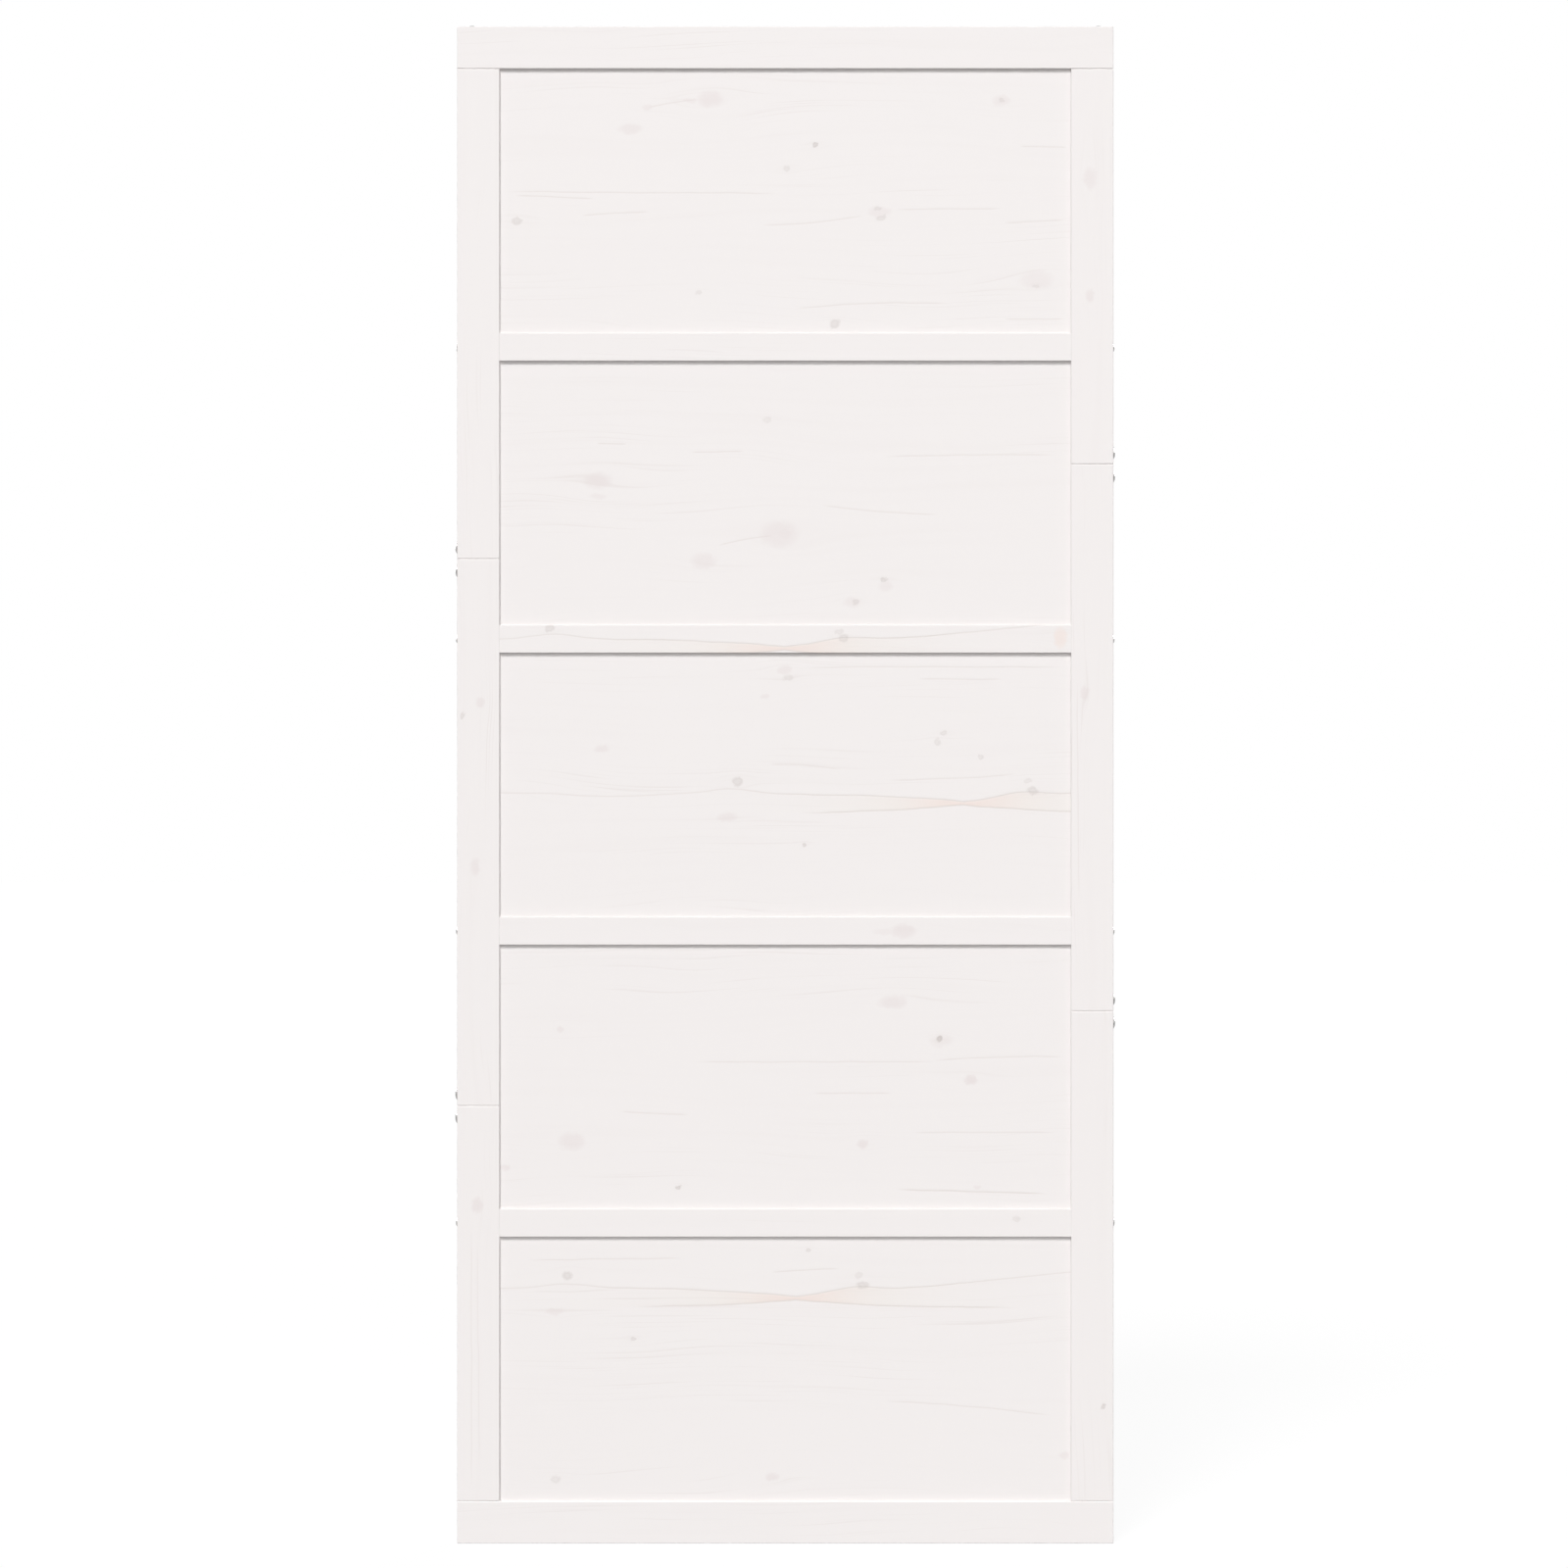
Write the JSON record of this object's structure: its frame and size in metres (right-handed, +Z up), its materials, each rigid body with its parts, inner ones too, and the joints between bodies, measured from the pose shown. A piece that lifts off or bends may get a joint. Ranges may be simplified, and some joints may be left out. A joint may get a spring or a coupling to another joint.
{
  "type": "framed barn door leaf",
  "caption": "White-painted pine sliding barn door leaf: a bolted, grooved frame of stiles and rails round flat recessed panels, for hanging from a track.",
  "frame": {"origin": "middle of the top rail's front face, where the hangers of a sliding track bolt on", "axes": "+Z up along the door's height, +X to the right seen from the front, -Y out of the front face"},
  "size_m": [0.906, 0.018, 2.0822],
  "materials": {
    "frame_paint": "thin white satin paint over pine",
    "panel_paint": "thin white satin paint over pine, knots showing through",
    "bolt_steel": "bright plated steel"
  },
  "bodies": {
    "root": {"top_rail": "frame_paint", "bottom_rail": "frame_paint", "mid_rail_1": "frame_paint", "mid_rail_2": "frame_paint", "mid_rail_3": "frame_paint", "mid_rail_4": "frame_paint", "left_stile_upper": "frame_paint", "left_stile_middle": "frame_paint", "left_stile_lower": "frame_paint", "right_stile_upper": "frame_paint", "right_stile_middle": "frame_paint", "right_stile_lower": "frame_paint", "panel_1": "panel_paint", "panel_2": "panel_paint", "panel_3": "panel_paint", "panel_4": "panel_paint", "panel_5": "panel_paint", "rail_bolt_left_1": "bolt_steel", "rail_bolt_left_2": "bolt_steel", "rail_bolt_left_3": "bolt_steel", "rail_bolt_left_4": "bolt_steel", "rail_bolt_right_1": "bolt_steel", "rail_bolt_right_2": "bolt_steel", "rail_bolt_right_3": "bolt_steel", "rail_bolt_right_4": "bolt_steel", "joint_bolt_left_1": "bolt_steel", "joint_bolt_left_2": "bolt_steel", "joint_bolt_left_3": "bolt_steel", "joint_bolt_left_4": "bolt_steel", "joint_bolt_right_1": "bolt_steel", "joint_bolt_right_2": "bolt_steel", "joint_bolt_right_3": "bolt_steel", "joint_bolt_right_4": "bolt_steel", "top_bolt_left": "bolt_steel", "top_bolt_right": "bolt_steel", "bottom_bolt_left": "bolt_steel", "bottom_bolt_right": "bolt_steel"}
  },
  "joints": []
}
